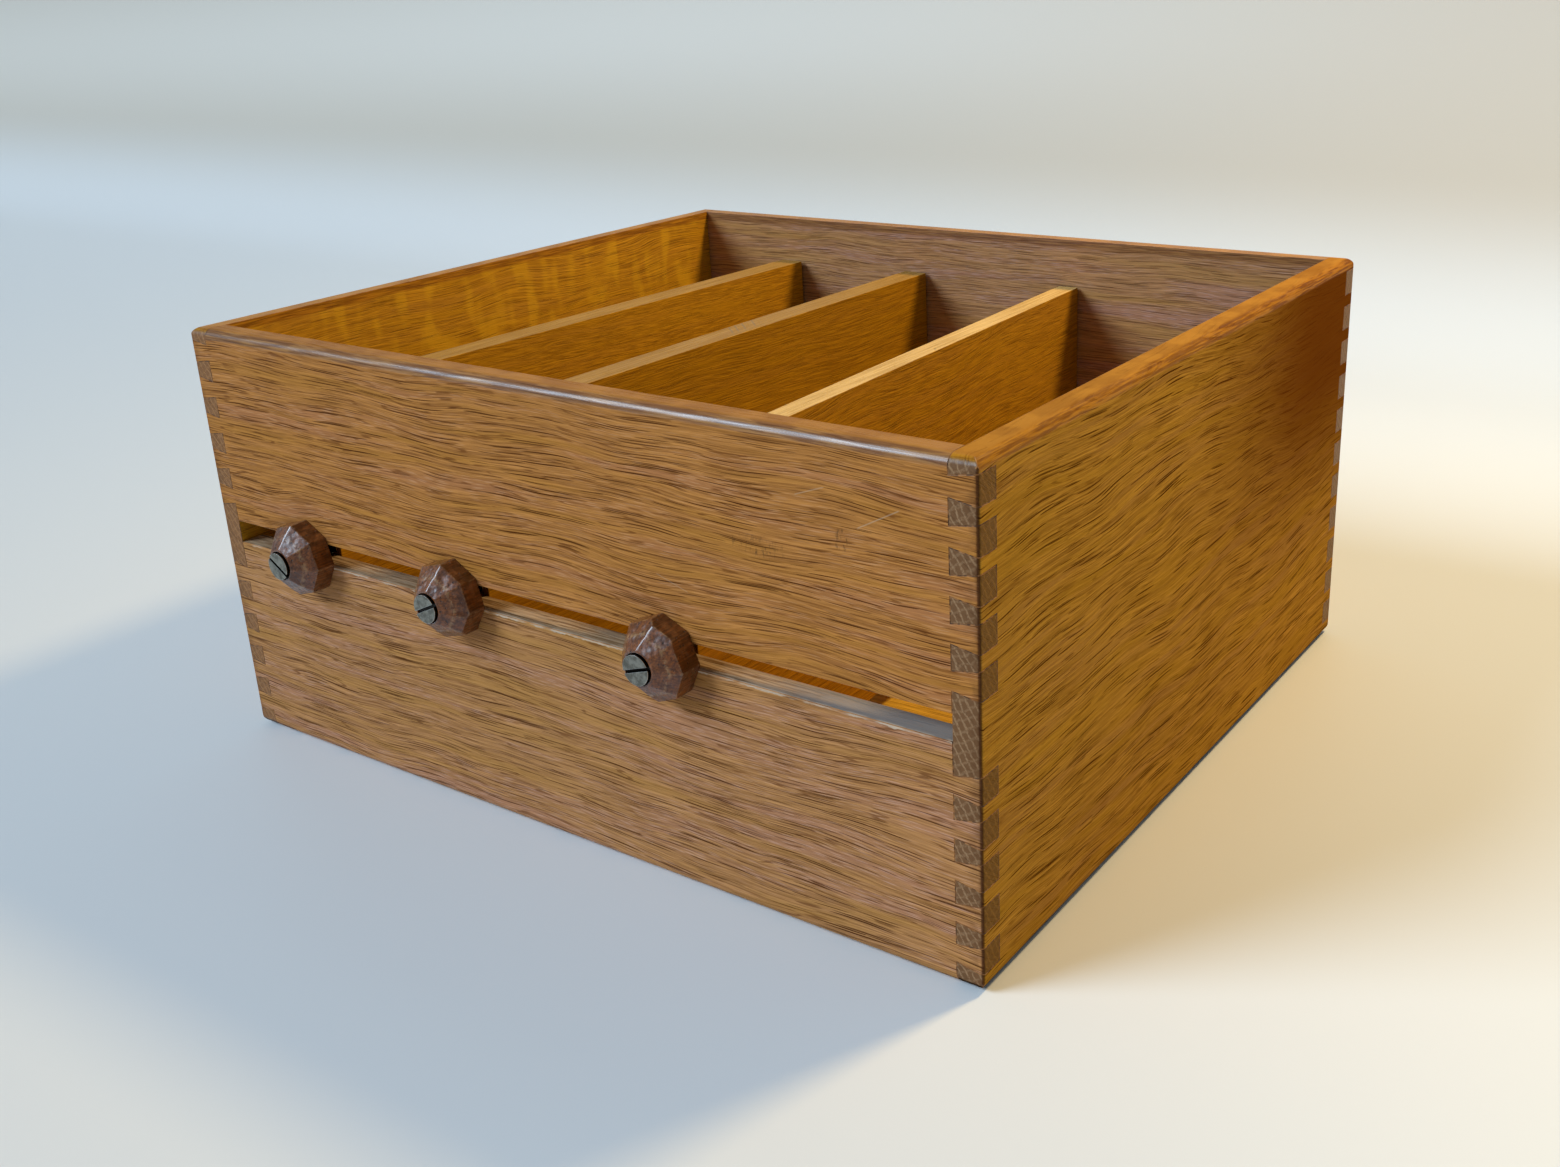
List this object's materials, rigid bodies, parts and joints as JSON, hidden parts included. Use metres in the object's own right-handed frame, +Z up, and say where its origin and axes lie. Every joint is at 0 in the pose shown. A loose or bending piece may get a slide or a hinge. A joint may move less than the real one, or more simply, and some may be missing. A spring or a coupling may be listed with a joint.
{
  "type": "document organizer",
  "caption": "Open-topped dovetailed oak box for papers, with upright dividers that slide along a slot in the front and are clamped there by faceted wooden knobs.",
  "frame": {"origin": "on the table, under the middle of the whole object's box, knobs included", "axes": "+Z up, front with its slot and knobs towards -Y, +X to the right seen from the front"},
  "size_m": [0.37, 0.3404, 0.179],
  "materials": {
    "oak": "satin varnished oak",
    "oak_inside": "satin varnished oak",
    "carved_wood": "glossy, hand carved",
    "steel": "worn satin",
    "brass": "machined"
  },
  "bodies": {
    "box": {"front_upper_board": "oak", "front_lower_board": "oak", "back_board": "oak", "left_side_board": "oak", "right_side_board": "oak", "bottom_panel": "oak_inside"},
    "left_divider": {"divider_left": "oak_inside", "threaded_insert_left": "brass"},
    "middle_divider": {"divider_middle": "oak_inside", "threaded_insert_middle": "brass"},
    "right_divider": {"divider_right": "oak_inside", "threaded_insert_right": "brass"},
    "left_knob": {"knob_left": "carved_wood", "knob_screw_left": "steel"},
    "middle_knob": {"knob_middle": "carved_wood", "knob_screw_middle": "steel"},
    "right_knob": {"knob_right": "carved_wood", "knob_screw_right": "steel"}
  },
  "joints": [
    {"name": "left_divider_slide", "type": "slide", "parent": "box", "child": "left_divider", "axis": [1, 0, 0], "range_m": [-0.037, 0.027]},
    {"name": "middle_divider_slide", "type": "slide", "parent": "box", "child": "middle_divider", "axis": [1, 0, 0], "range_m": [-0.027, 0.037]},
    {"name": "right_divider_slide", "type": "slide", "parent": "box", "child": "right_divider", "axis": [1, 0, 0], "range_m": [-0.035, 0.107]},
    {"name": "left_knob_turn", "type": "hinge", "parent": "left_divider", "child": "left_knob", "pos_m": [-0.1295, -0.15475, 0.0908], "axis": [0, -1, 0], "range_deg": [0, 360]},
    {"name": "middle_knob_turn", "type": "hinge", "parent": "middle_divider", "child": "middle_knob", "pos_m": [-0.043, -0.15475, 0.0908], "axis": [0, -1, 0], "range_deg": [0, 360]},
    {"name": "right_knob_turn", "type": "hinge", "parent": "right_divider", "child": "right_knob", "pos_m": [0.061, -0.15475, 0.0908], "axis": [0, -1, 0], "range_deg": [0, 360]}
  ]
}
